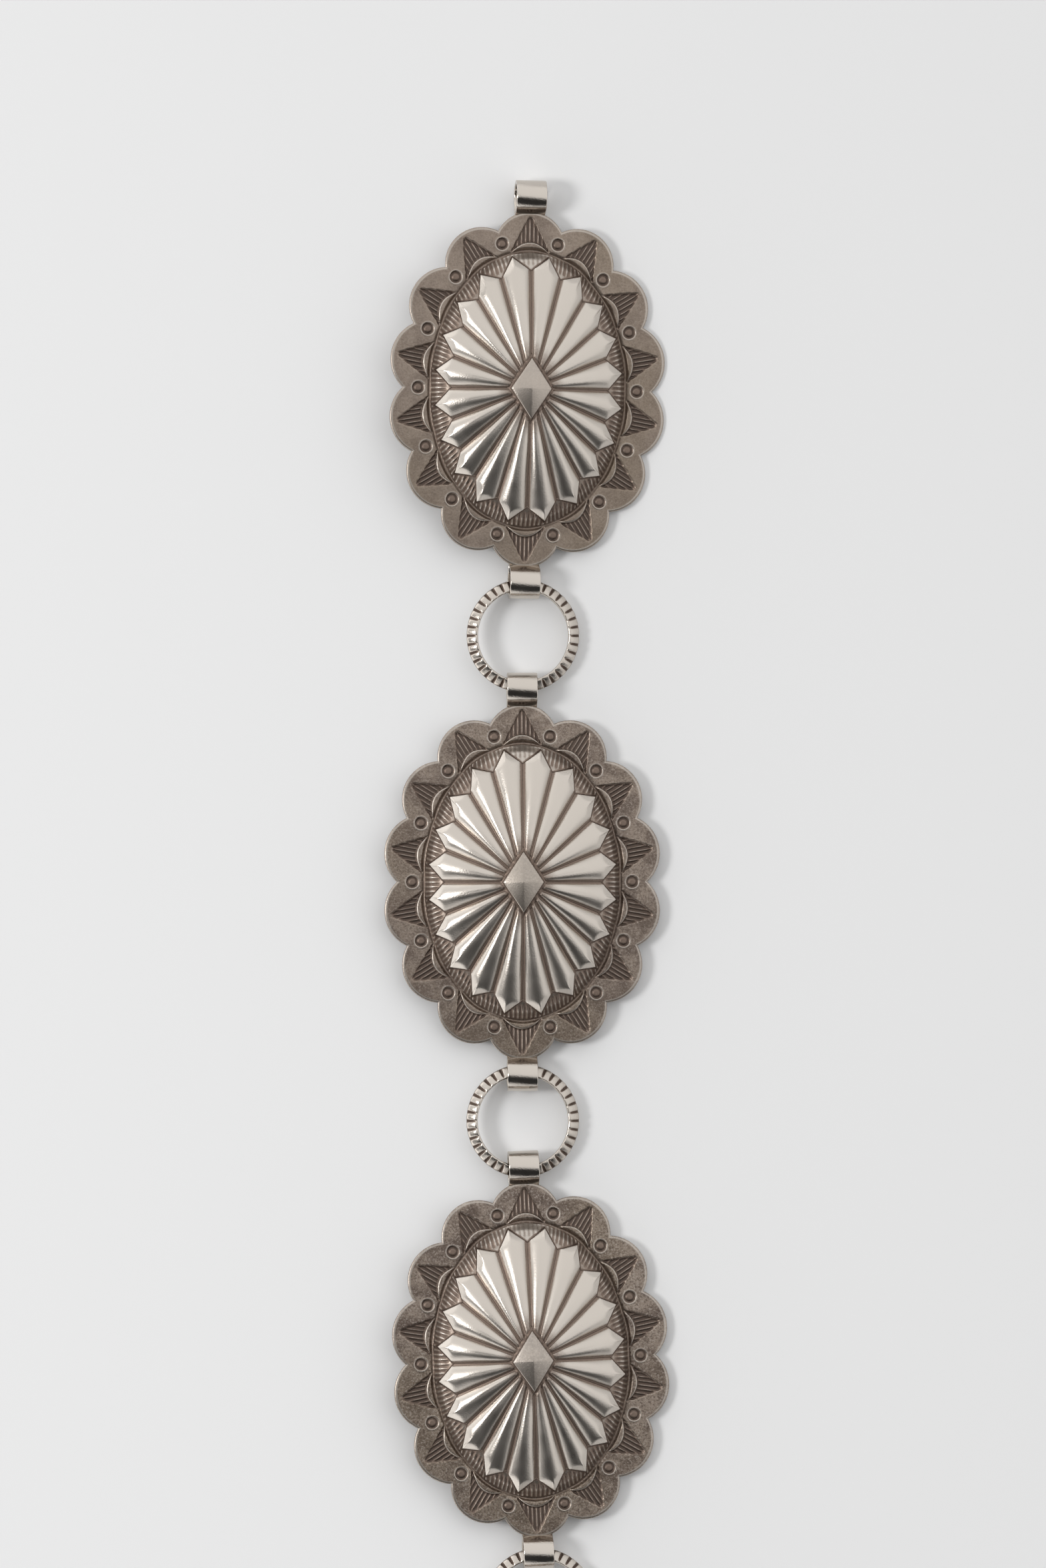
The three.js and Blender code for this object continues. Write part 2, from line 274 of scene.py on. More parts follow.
def closed_grid(rows, columns):
    """Quads of a grid that closes on itself both ways, as a tube bent into a ring does."""
    index = np.arange(rows * columns).reshape(rows, columns)
    down, right = np.roll(index, -1, axis=0), np.roll(index, -1, axis=1)
    return np.stack([index, right, np.roll(down, -1, axis=1), down], axis=-1).reshape(-1, 4)


print("two rows of 6 points make", *map(len, skin([range(6)] * 2)), "quads and triangles")

# %% Put points and faces into a mesh
def add_piece(name, parts, materials):
    """One object from parts: each has points, quads, triangles, marks and its material's number."""
    mesh = bpy.data.meshes.new(name)
    offsets = np.cumsum([0] + [len(part["points"]) for part in parts])
    points = np.concatenate([part["points"] for part in parts])
    quads = np.concatenate([part["quads"] + at for part, at in zip(parts, offsets)])
    triangles = np.concatenate([part["triangles"] + at for part, at in zip(parts, offsets)])
    corners = np.concatenate([quads.ravel(), triangles.ravel()])
    sizes = np.concatenate([np.full(len(quads), 4), np.full(len(triangles), 3)])
    finish = [np.full(len(part["quads"]), part["finish"]) for part in parts]
    finish += [np.full(len(part["triangles"]), part["finish"]) for part in parts]
    mesh.vertices.add(len(points))
    mesh.vertices.foreach_set("co", points.ravel())
    mesh.loops.add(len(corners))
    mesh.loops.foreach_set("vertex_index", corners)
    mesh.polygons.add(len(sizes))
    mesh.polygons.foreach_set("loop_start", np.cumsum(sizes) - sizes)
    mesh.polygons.foreach_set("material_index", np.concatenate(finish))
    mesh.polygons.foreach_set("use_smooth", np.ones(len(sizes), dtype=bool))
    for mark in parts[0]["marks"]:
        values = np.concatenate([part["marks"][mark] for part in parts])
        mesh.attributes.new(mark, "FLOAT", "POINT").data.foreach_set("value", values)
    mesh.update(calc_edges=True)
    for material in materials:
        mesh.materials.append(material)
    piece = bpy.data.objects.new(name, mesh)
    bpy.context.scene.collection.objects.link(piece)
    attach(piece, "root")
    return piece, int(2 * len(quads) + len(triangles))


NO_TRIANGLES = np.zeros((0, 3), dtype=int)
print("a closed grid of 4 by 6 points has", len(closed_grid(4, 6)), "quads")

# %% [markdown]
# ## The dome and its petals
#
# The dome is raised by pressing the sheet into a hollow block with a fluted punch. The flutes read
# as twenty pointed petals: rounded along their length, cut off by two small bevels at the tip, and
# parted by narrow grooves. A displaced texture could fake this, but the light on polished silver
# shows every shape, so the petals are worked out as heights on a grid that follows them. Its
# columns run along the petals, and its rows end exactly on the zigzag of the tips.

# %% Plain dome and zigzag of the petal ends
def dome_surface(plan):
    """Height wall + rise (1 - s^1.7), where s is the share of the way to the dome's edge."""
    share = np.minimum(1.0, np.hypot(plan[..., 0] / DOME[0], plan[..., 1] / DOME[1]))
    return PLATE_LIFT + SHEET + DOME_WALL + (DOME_HEIGHT - DOME_WALL) * (1 - share**DOME_ROUNDNESS)


def boss_edge(angle):
    """Point of the diamond |x| / a + |y| / b = 1 in a given direction."""
    spread = np.abs(np.cos(angle)) + np.abs(np.sin(angle))
    return ellipse(BOSS, angle) / spread[..., None]


def petal_ends(share):
    """Zigzag of straight gables between valleys on one ellipse and tips on a larger one."""
    half_petal = np.floor(share * PETALS * 2)
    along = (share * PETALS * 2 - half_petal)[..., None]
    ends = []
    for step in (0, 1):
        number = half_petal + step
        angle = even_angle(PETAL_VALLEYS, number / (PETALS * 2))
        is_tip = (number % 2 == 1)[..., None]
        ends.append(np.where(is_tip, ellipse(PETAL_TIPS, angle), ellipse(PETAL_VALLEYS, angle)))
    return mix(ends[0], ends[1], along)


def pushed_out(plan, distance):
    """Points moved away from the middle by a distance."""
    return plan * (1 + distance / length_of(plan))[..., None]


print("dome at the foot of a petal", dome_surface(np.array(PETAL_TIPS) * [1, 0]).round(2), "mm up")

# %% Grid of the petals
PETAL_ROOT = 0.04
FINE_FROM = 0.87


def petal_grid(columns, count):
    """Rows from the boss to the zigzag, their share of the way, and the distance to the zigzag.

    That distance is what is left of the way, times the sine of its angle to the gable.
    """
    share = np.arange(columns) / columns
    start = boss_edge(even_angle(PETAL_VALLEYS, share))
    end = petal_ends(share)
    fine_rows = count // 3
    way = np.concatenate([
        np.linspace(PETAL_ROOT, FINE_FROM, count - fine_rows, endpoint=False),
        np.linspace(FINE_FROM, 1.0, fine_rows),
    ])[:, None]
    travel = end - start
    gable = np.roll(end, -1, axis=0) - np.roll(end, 1, axis=0)
    slant = np.abs(travel[:, 0] * gable[:, 1] - travel[:, 1] * gable[:, 0])
    slant = slant / (length_of(travel) * length_of(gable))
    to_end = (1 - way) * (length_of(travel) * slant)[None]
    return mix(start[None], end[None], way[..., None]), way, to_end


print("petals start", petal_grid(PETALS * 4, 6)[2].max().round(2), "mm from their ends")

# %% Heights of the petals
GROOVE_HALF_WIDTH = (0.20, 0.42)
RIDGE_AT_BOSS = 0.35
RIDGE_AT_END = 0.95
RIDGE_ROUNDNESS = (2.2, 0.8)
BEVEL_EDGE = 0.3
BEVEL_RISE = 0.6
BEVEL_SOFTNESS = 0.12


def petal_rows(columns, count):
    """Rows of the petals with their marks: the lower of a rounded ridge and its end's bevel.

    The ridge is crest (1 - (1 - f)^2.2)^0.8, where f is the share of the way from the groove to the
    petal's middle, and the bevel is its edge plus 0.6 of the distance to the zigzag.
    """
    plan, way, to_end = petal_grid(columns, count)
    share = np.arange(columns) / columns
    phase = share * PETALS - np.floor(share * PETALS)
    spread = length_of(plan - np.roll(plan, 1, axis=1)).mean(axis=1, keepdims=True)
    spread = spread * columns / PETALS * mix(1.0, 0.8, way)
    from_groove = spread / 2 * (1 - np.abs(2 * phase - 1))[None]
    groove = mix(*GROOVE_HALF_WIDTH, way)
    flank = np.clip((from_groove - groove) / (spread / 2 - groove), 0.0, 1.0)
    crest = mix(RIDGE_AT_BOSS, RIDGE_AT_END, smooth_step(0.0, 0.7, way))
    body = crest * (1 - (1 - flank) ** RIDGE_ROUNDNESS[0]) ** RIDGE_ROUNDNESS[1]
    height = soft_lower(body, BEVEL_EDGE + BEVEL_RISE * to_end, BEVEL_SOFTNESS)

    in_groove = 1 - smooth_step(groove - 0.10, groove + 0.22, from_groove)
    at_root = 1 - smooth_step(0.02, 0.34, way)
    oxide = np.maximum(0.5 * in_groove, 0.32 * at_root * np.ones_like(in_groove))
    polish = np.maximum(smooth_step(0.02, 0.35, flank), 1 - in_groove)
    return plan, dome_surface(plan) + height, oxide, polish, from_groove


print("petals rise to", petal_rows(PETALS * 4, 12)[1].max().round(2), "mm")

# %% [markdown]
# ## The hatched band and the stamped rim
#
# Around the petals runs a sloping band that is hatched with a lined punch. Outside it the smith has
# struck three tools in turn: a curved edge that leaves a raised crescent along the dome, a lined
# triangle in every lobe, and a small ring at every notch. Each tool is a distance to its outline
# and a profile over that distance.

# %% Sizes of the stamps
LINE_PITCH = 0.77
RING_STAMPS = (20.3, 27.7)
RING_STAMP_RADIUS = 1.1
RING_STAMP_DEPTH = 0.27
BUTTON_RISE = 0.19
LIP_RISE = 0.05
TRIANGLE_TOP = 6.45
TRIANGLE_FOOT = 0.6
TRIANGLE_HALF_WIDTH = 3.3
TRIANGLE_NOSE = 0.45
TRIANGLE_DEPTH = 0.32
LINE_RISE = 0.17
CRESCENT_RISE = 0.24
CRESCENT_BOW = 1.15
GROOVE_RADIUS = 0.38
GROOVE_DEPTH = 0.30
RIM_FALL = 0.045
EDGE_ROUND = 0.4


def ridged(turns, sharpness=3):
    """Rounded ridges, one for each whole turn: (1/2 + 1/2 cos), to the power of the sharpness."""
    return (0.5 + 0.5 * np.cos(2 * np.pi * turns)) ** sharpness


print("a ridge is", round(ridged(0.25), 3), "high a quarter of the way to the next")

# %% Heights of the hatched band
LINES_PER_PETAL = 8
HATCH_DEPTH = 0.20
HATCH_SHARPNESS = 1.2
HATCH_OXIDE = 0.78
PETAL_FOOT = 0.12


def band_rows(columns, count):
    """Rows of the sloping band, from the petals' foot to the dome's edge, with their marks.

    The height is the dome's, less the furrows' depth times 1 - (1/2 + 1/2 cos)^1.2.
    """
    share = np.arange(columns) / columns
    start = pushed_out(petal_ends(share), PETAL_FOOT)
    end = ellipse(DOME, even_angle(NOTCHES, share))
    way = np.linspace(0.0, 1.0, count, endpoint=False)[:, None]
    plan = mix(start[None], end[None], way[..., None])
    from_petals = way * length_of(end - start)[None]
    to_edge = (1 - way) * length_of(end - start)[None]
    share_out = np.hypot(plan[..., 0] / DOME[0], plan[..., 1] / DOME[1])
    phase = share * PETALS - np.floor(share * PETALS)
    turns = (LINES_PER_PETAL * np.abs(phase - 0.5))[None] + 0 * plan[..., 0]
    # Hatching and its oxide fade towards the north end. The hatching is made shallower there, and
    # the lighter colour is painted light: the band is kept pale at the top, as the bright sky to
    # the north lights it.
    from_north = np.abs(share * PETALS - PETALS / 4)[None] + 0 * turns
    north_light_fade = mix(0.25, 1.0, smooth_step(0.35, 1.6, np.minimum(from_north, PETALS - from_north)))
    inside = north_light_fade * smooth_step(0.10, 0.30, from_petals) * (1 - smooth_step(2.3, 2.9, to_edge))
    furrow = inside * (1 - ridged(turns, HATCH_SHARPNESS))
    z = dome_surface(plan) - DOME_WALL * smooth_step(0.93, 1.0, share_out) - HATCH_DEPTH * furrow
    shade = 0.04 + 0.22 * smooth_step(1.0, 2.4, to_edge)
    oxide = mix(shade * north_light_fade, HATCH_OXIDE, furrow)
    oxide = np.maximum(oxide, 0.9 * (1 - smooth_step(0.08, 0.38, from_petals)))
    oxide = np.maximum(oxide, 0.4 * (1 - smooth_step(0.10, 0.35, to_edge)))
    return plan, z, oxide, 0.9 * (1 - oxide)


print("hatched band:", PETALS * LINES_PER_PETAL, "lines")

# %% Grid of the rim
FINE_RIM = 2.4
FINE_RIM_SHARE = 0.42


def rim_grid(columns, count):
    """Rows of the rim, closer by the dome, and how far they lie from the dome and the outline."""
    share = np.arange(columns) / columns
    start, outline = ellipse(DOME, even_angle(NOTCHES, share)), lobed_outline(share)
    reach = length_of(outline - start)[None]
    fine_rows = int(count * FINE_RIM_SHARE)
    fine = np.linspace(0.0, FINE_RIM, fine_rows, endpoint=False)[:, None] / reach
    rest = np.linspace(0.0, 1.0, count - fine_rows)[:, None]
    way = np.concatenate([fine, mix(FINE_RIM / reach, 1 - EDGE_ROUND / reach, rest)])
    plan = mix(start[None], outline[None], way[..., None])
    return plan, way * reach, (1 - way) * reach - EDGE_ROUND


def from_lobe_axis(plan):
    """How far each point lies along and across the line from the dome to the top of its lobe."""
    lobe = np.floor(np.arange(plan.shape[1]) / plan.shape[1] * LOBES)
    middle = (lobe + 0.5) / LOBES
    foot = ellipse(DOME, even_angle(NOTCHES, middle))
    axis = lobed_outline(middle) - foot
    axis = axis / length_of(axis)[..., None]
    offset = plan - foot[None]
    along = np.sum(offset * axis[None], axis=-1)
    across = np.abs(offset[..., 0] * axis[None, :, 1] - offset[..., 1] * axis[None, :, 0])
    return along, across


print("rim", rim_grid(LOBES, 4)[1].max().round(2), "mm wide at a notch")

# %% The three tools that are struck into the rim
def crescent_stamp(out, bow):
    """Groove along the dome, the raised crescent outside it, its worn crest, and its outer side.

    Groove and crest are bells e^(-(d / r)^2) of the distance d to their middle line.
    """
    groove_at = 0.02 + 0.22 * bow
    groove = np.exp(-(((out - groove_at) / GROOVE_RADIUS) ** 2))
    outer_side = groove_at + GROOVE_RADIUS + CRESCENT_BOW * bow
    body = smooth_step(0.20, 0.62, out - groove_at)
    body = body * (1 - smooth_step(-0.16, 0.08, out - outer_side)) * smooth_step(0.0, 0.3, bow)
    crest = np.exp(-(((out - outer_side + 0.10) / 0.10) ** 2)) * smooth_step(0.05, 0.4, bow)
    return groove, body, crest, outer_side


def triangle_stamp(along, across, past_crescent):
    """Inside of the lined triangle, whose sides are ragged where its lines end, and the lines."""
    slant = (TRIANGLE_HALF_WIDTH - TRIANGLE_NOSE) / (TRIANGLE_TOP - TRIANGLE_FOOT)
    from_axis = np.sqrt(across**2 + TRIANGLE_NOSE**2) - TRIANGLE_NOSE
    side = (slant * (TRIANGLE_TOP - along) - from_axis) / math.hypot(1.0, slant)
    turns = across / LINE_PITCH
    inside_by = np.minimum(side + 0.05 - 0.10 * ridged(turns), past_crescent)
    inside = smooth_step(-0.02, 0.14, inside_by)
    return inside, ridged(turns) * smooth_step(0.15, 0.45, inside_by), turns


def ring_stamp(plan):
    """Pit of the small ring at the nearest notch, the button left in it, and the lip round it."""
    share = np.arange(plan.shape[1]) / plan.shape[1]
    centre = ellipse(RING_STAMPS, even_angle(NOTCHES, np.round(share * LOBES) / LOBES))
    away = length_of(plan - centre[None])
    pit = 1 - smooth_step(RING_STAMP_RADIUS - 0.12, RING_STAMP_RADIUS + 0.06, away)
    button = 1 - smooth_step(0.45, 0.85, away)
    lip = np.exp(-(((away - RING_STAMP_RADIUS - 0.15) / 0.12) ** 2))
    return pit, button, lip


print(LOBES, "triangles of", round(TRIANGLE_HALF_WIDTH * 2 / LINE_PITCH), "lines")

# %% Heights of the stamped rim
def rim_rows(columns, count):
    """Rows of the rim with their marks: a plain slope, less what each tool pushes in or raises."""
    plan, out, to_outline = rim_grid(columns, count)
    along, across = from_lobe_axis(plan)
    bow = np.clip(1 - (across / TRIANGLE_HALF_WIDTH) ** 2, 0.0, 1.0)
    groove, crescent, crest, outer_side = crescent_stamp(out, bow)
    inside, lines, turns = triangle_stamp(along, across, out - outer_side)
    pit, button, lip = ring_stamp(plan)

    z = PLATE_LIFT + SHEET - RIM_FALL * out - GROOVE_DEPTH * groove + CRESCENT_RISE * crescent
    z = z - TRIANGLE_DEPTH * inside + LINE_RISE * lines
    z = z - RING_STAMP_DEPTH * pit + BUTTON_RISE * button * pit + LIP_RISE * lip
    near_edge = smooth_step(0.25, 0.6, to_outline) * (1 - smooth_step(0.6, 1.3, to_outline))
    oxides = (0.30 * groove, 0.05 * crescent, inside * (0.74 - 0.6 * lines),
              pit * (0.95 - 0.42 * button), 0.16 * near_edge)
    worn_edge = 1 - smooth_step(-0.05, 0.25, to_outline)
    polishes = (0.9 * crest, 0.7 * lines, 0.6 * lip, 0.7 * worn_edge)
    return plan, z, np.maximum.reduce(oxides), np.maximum.reduce(polishes), turns, inside


print("rim from", rim_rows(LOBES * 8, 12)[1].min().round(2), "mm up")

# %% [markdown]
# ## One whole concho
#
# The rows are stacked from the boss outwards, round the edge, and back in underneath. The hollow
# under the dome is real: the sheet is about a millimetre thick all over, so the inside is the
# outside again, one sheet lower, softened and without the stamps.

# %% Rows of the boss, the edge and the underside
BOSS_SOFTNESS = 1.12
EDGE_PROFILE = np.array([
    (0.20, 0.04), (0.07, 0.13), (0.00, 0.32), (0.00, 0.78), (0.10, 0.98), (0.60, 1.00),
])
GROOVE_ROOM = 0.1
FLUTE_INSIDE = 0.35


def boss_rows(columns, count):
    """Rows of the raised diamond: a low four-sided roof with softened ridges."""
    angle = even_angle(PETAL_VALLEYS, np.arange(columns) / columns)
    way = np.concatenate([np.linspace(1 / count, 0.94, count - 3), [0.98, 1.0, 1.02]])[:, None]
    plan = boss_edge(angle)[None] * way[..., None]
    softened = (np.abs(plan / BOSS) ** BOSS_SOFTNESS).sum(axis=-1) ** (1 / BOSS_SOFTNESS)
    roof = mix(BOSS_HEIGHT, BOSS_EDGE, np.minimum(softened, 1.0))
    drop = np.concatenate([np.zeros(count - 3), [0.06, 0.30, 0.72]])[:, None]
    z = dome_surface(plan) + roof - drop
    return plan, z, 0.9 * drop + 0 * z, 0.5 * np.clip(1 - 2 * drop, 0, 1) + 0 * z


def edge_rows(columns):
    """Rows round the edge of the plate, whose upper corner is rounded more than the lower."""
    share = np.arange(columns) / columns
    start, outline = ellipse(DOME, even_angle(NOTCHES, share)), lobed_outline(share)
    width = length_of(start - outline)
    inward = (start - outline) / width[..., None]
    inset, down = EDGE_PROFILE[:, :1], EDGE_PROFILE[:, 1:]
    plan = outline[None] + inward[None] * inset[..., None]
    fall = RIM_FALL * (width[None] - inset)
    return plan, PLATE_LIFT + SHEET - down - fall * (1 - down)


def underside_rows(columns, ways):
    """Rows of the hollow under the dome, one sheet below its grooves, from its edge inwards."""
    share = np.arange(columns) / columns
    rim = ellipse((DOME[0] - SHEET, DOME[1] - SHEET), even_angle(NOTCHES, share))
    plan = rim[None] * np.asarray(ways)[:, None, None]
    flutes = FLUTE_INSIDE * np.cos(2 * np.pi * (share * PETALS - 0.5))
    z = dome_surface(plan) - SHEET - GROOVE_ROOM
    return plan, z + flutes * np.sin(np.pi * np.clip(ways, 0, 1))[:, None]


print("boss rises to", boss_rows(8, 6)[1].max().round(2), "mm")

# %% Stack the rows of a concho
FAR_FROM_SEAM = 9.0
PLAIN_MARKS = dict(oxide=0.0, polish=0.0, turns=0.0, hatched=0.0, seam=FAR_FROM_SEAM)
BACK_WAYS = (0.25, 0.6, 1.0)
HOLLOW_WAYS = (1.0, 0.97, 0.93, 0.86, 0.78, 0.68, 0.56, 0.44, 0.32, 0.2, 0.1)
BACK_INSET = 0.6
ROWS = dict(boss=12, petals=42, band=12, rim=36)


def front_layers(columns, detail):
    """Rows of the face from the boss to the edge, each batch with the marks that it has."""
    inner = columns // 2
    plan, z, oxide, polish = boss_rows(inner // 4, ROWS["boss"] // detail + 3)
    yield plan, z, dict(oxide=oxide, polish=polish)
    plan, z = petal_rows(inner // 2, 6)[:2]
    yield plan[:1], z[:1], dict(oxide=0.6, polish=0.2)
    plan, z, oxide, polish, seam = petal_rows(inner, ROWS["petals"] // detail)
    yield plan, z, dict(oxide=oxide, polish=polish, seam=seam)
    foot = pushed_out(petal_ends(np.arange(columns) / columns), 0.08)[None]
    yield foot, dome_surface(foot) + BEVEL_EDGE * 0.5, dict(oxide=0.9)
    plan, z, oxide, polish = band_rows(columns, ROWS["band"] // detail)
    yield plan, z, dict(oxide=oxide, polish=polish)
    plan, z, oxide, polish, turns, inside = rim_rows(columns, ROWS["rim"] // detail)
    yield plan, z, dict(oxide=oxide, polish=polish, turns=turns, hatched=inside)
    yield *edge_rows(columns), dict(oxide=0.05, polish=0.3)


def back_layers(columns):
    """Rows of the flat back and the hollow, with half as many points from each row to the next."""
    for way in BACK_WAYS:
        columns //= 2
        share = np.arange(columns) / columns
        inset_dome = (DOME[0] - BACK_INSET, DOME[1] - BACK_INSET)
        hollow_edge = ellipse(inset_dome, even_angle(NOTCHES, share))
        plan = mix(lobed_outline(share), hollow_edge, way)[None]
        yield plan, np.full(plan.shape[:2], PLATE_LIFT), dict(oxide=0.15)
    yield *underside_rows(columns, HOLLOW_WAYS), dict(oxide=0.35)


def concho_part(detail):
    """A concho in its own frame. Detail 1 is the finest; 2 halves the rows and the columns."""
    columns = FINE_COLUMNS // detail
    rows, marks = [], {name: [] for name in PLAIN_MARKS}
    for plan, z, given in [*front_layers(columns, detail), *back_layers(columns)]:
        rows += list(np.concatenate([plan, z[..., None]], axis=2))
        for name, plain in PLAIN_MARKS.items():
            marks[name] += list(np.broadcast_to(given.get(name, plain), z.shape))
    top = [0.0, 0.0, dome_surface(np.zeros(2)) + BOSS_HEIGHT]
    ceiling = [0.0, 0.0, dome_surface(np.zeros(2)) - SHEET - GROOVE_ROOM]
    quads, triangles = skin(rows)
    return dict(
        points=np.concatenate([[top], *rows, [ceiling]]),
        quads=quads,
        triangles=triangles,
        marks={name: np.concatenate([of[0][:1], *of, of[-1][:1]]) for name, of in marks.items()},
        finish=0,
    )


shapes = {detail: concho_part(detail) for detail in (1, 2)}
print("concho skins of", [len(shape["points"]) for shape in shapes.values()], "points")

# %% [markdown]
# ## The bails
#
# A bail is one strip of silver, bent round a rod so that its two ends lie on each other, and
# soldered under the end lobe. So it is made as a strip: a rounded section, wide and thin, carried
# along a path that leaves the plate, goes once round the rod and comes back.

# %% Path of a bail
BAIL_STEPS = 84
ROLL_TURN = (-142.0, 158.0)


def smoothed(path, rounds):
    """A path whose inner points are averaged with their neighbours, a few times over."""
    for _ in range(rounds):
        path[1:-1] = path[1:-1] / 2 + (path[:-2] + path[2:]) / 4
    return path


def even_steps(path, count):
    """The same path with points at equal steps along it."""
    travelled = np.concatenate([[0.0], np.cumsum(length_of(np.diff(path, axis=0)))])
    steps = np.linspace(0.0, travelled[-1], count)
    return np.stack([np.interp(steps, travelled, path[:, k]) for k in range(path.shape[1])], axis=1)


def directions(path):
    """Unit steps along a path of flat points."""
    forward = np.gradient(path, axis=0)
    return forward / length_of(forward)[:, None]


def bail_path():
    """Middle line of the strip, as (out, up): under the plate, once round the rod, and back."""
    middle_radius = BORE_RADIUS * math.cos(math.pi / BAIL_FACETS) + BAIL_STRIP / 2
    turn = np.radians(np.linspace(*ROLL_TURN, 60))
    roll = np.stack([BORE_REACH + middle_radius * np.cos(turn),
                     BORE_HEIGHT + middle_radius * np.sin(turn)], axis=1)
    tail_start = BORE_REACH - BAIL_TAIL
    lower, upper = PLATE_LIFT - BAIL_STRIP * 1.5, PLATE_LIFT - BAIL_STRIP * 0.5
    tail_in = np.stack([np.linspace(tail_start, BORE_REACH - 3.4, 12), np.full(12, lower)], axis=1)
    tail_out = np.stack([np.linspace(BORE_REACH - 3.3, tail_start, 12), np.full(12, upper)], axis=1)
    return smoothed(even_steps(np.concatenate([tail_in, roll, tail_out]), BAIL_STEPS), 3)


print("bail reaches", bail_path()[:, 0].max().round(2), "mm out")

# %% Carry the section of the strip along the path
STRIP_CORNER = 0.16


def strip_section():
    """Outline of the strip's section as (across, out of the path): a rectangle, corners rounded."""
    bend = np.radians([0, 30, 60, 90])
    quarter = np.stack([np.cos(bend), np.sin(bend)], axis=1) * STRIP_CORNER
    reach = np.array([BAIL_WIDTH / 2 - STRIP_CORNER, BAIL_STRIP / 2 - STRIP_CORNER])
    return np.concatenate([
        quarter + reach,
        quarter[::-1] * [-1, 1] + reach * [-1, 1],
        -quarter - reach,
        quarter[::-1] * [1, -1] + reach * [1, -1],
    ])


def bail_part(side):
    """The strip of one bail: side is 1 at the concho's north end and -1 at its south end."""
    path, section = bail_path(), strip_section()
    forward = directions(path)
    normal = np.stack([-forward[:, 1], forward[:, 0]], axis=1)
    count, ring = len(path), len(section)
    across = np.broadcast_to(section[:, 0], (count, ring))
    plan = path[:, None, :] + normal[:, None, :] * section[None, :, 1][..., None]
    points = np.stack([across * side, plan[..., 0] * side, plan[..., 1]], axis=-1)
    index = np.arange(count * ring).reshape(count, ring)
    here, there = index[:-1], index[1:]
    quads = np.stack([here, np.roll(here, -1, axis=1), np.roll(there, -1, axis=1), there], axis=-1)
    caps = []
    for row, flip in ((0, False), (count - 1, True)):
        loop = index[row]
        fan = np.stack([np.full(ring - 2, loop[0]), loop[2:], loop[1:-1]], axis=1)
        caps.append(fan[:, ::-1] if flip else fan)
    rubbed = dict(PLAIN_MARKS, polish=1.0)
    return dict(
        points=points.reshape(-1, 3),
        quads=quads.reshape(-1, 4),
        triangles=np.concatenate(caps),
        marks={name: np.full(count * ring, value) for name, value in rubbed.items()},
        finish=1,
    )


bails = [bail_part(1), bail_part(-1)]
print("bail strip of", len(bails[0]["quads"]), "quads")

# %% [markdown]
# ## The links
#
# A link is a ring of wire whose upper face slopes down to the outside. The smith has filed short
# cuts across that slope all the way round. The section is a rounded outline carried round a circle,
# and each cut pushes the sloping face in by a narrow, rounded notch that widens outwards.

# %% Shape of a link
FILE_CUTS = 38
CUT_DEPTH = 0.42
CROWN_DROP = 0.05
LINK_SECTION = np.array([
    (0.00, -0.20), (0.06, -0.40), (0.25, -0.50), (0.50, -0.50), (0.74, -0.48), (0.90, -0.36),
    (0.98, -0.20), (0.99, -0.08), (0.92, 0.02), (0.75, 0.15), (0.58, 0.27), (0.42, 0.38),
    (0.26, 0.46), (0.14, 0.49), (0.05, 0.46), (0.01, 0.36), (0.00, 0.20), (0.00, 0.00),
])


def link_part(steps_per_cut):
    """A filed link in its own frame: its section carried round, notched on the sloping face.

    A cut is a bell e^(-(d / w)^2), where d is the distance to its middle along the ring.
    """
    columns = FILE_CUTS * steps_per_cut
    angle = 2 * np.pi * np.arange(columns) / columns
    across, up = LINK_SECTION[:, 0], LINK_SECTION[:, 1]
    radius = LINK_RADIUS - LINK_WIDTH * (1 - across)
    sloping = smooth_step(0.10, 0.40, across) * smooth_step(-0.30, -0.02, up)
    phase = angle * FILE_CUTS / (2 * np.pi)
    from_cut = np.abs(phase - np.round(phase))[None] * (2 * np.pi / FILE_CUTS) * radius[:, None]
    half_width = (0.13 + 0.10 * across)[:, None]
    cut = np.exp(-((from_cut / half_width) ** 2)) * sloping[:, None]
    crown = CROWN_DROP * (1 - (from_cut / from_cut.max(axis=1, keepdims=True)) ** 2)
    z = up[:, None] * LINK_HEIGHT - CUT_DEPTH * cut - crown * sloping[:, None]
    out = radius[:, None] - 0.25 * CUT_DEPTH * cut * smooth_step(0.6, 1.0, across)[:, None]
    points = np.stack([out * np.cos(angle), out * np.sin(angle), z], axis=-1)
    marks = {name: np.full(cut.size, value) for name, value in PLAIN_MARKS.items()}
    marks["oxide"] = cut.ravel()
    marks["polish"] = (0.9 * smooth_step(0.25, 0.6, 1 - cut)).ravel()
    return dict(
        points=points.reshape(-1, 3),
        quads=closed_grid(len(LINK_SECTION), columns)[:, ::-1],
        triangles=NO_TRIANGLES,
        marks=marks,
        finish=0,
    )


print("file cuts every", round(2 * math.pi * LINK_RADIUS / FILE_CUTS, 2), "mm")

# %% [markdown]
# ## The hook
#
# The belt closes with a plain hook of round wire at its far end: an eye round the last bail, a
# straight shank, and a bend that comes back over the shank with its tip turned up. A path in an
# upright plane and a circle carried along it are enough, and the ends of the wire are rounded off.

# %% Round wire
WIRE_SIDES = 16


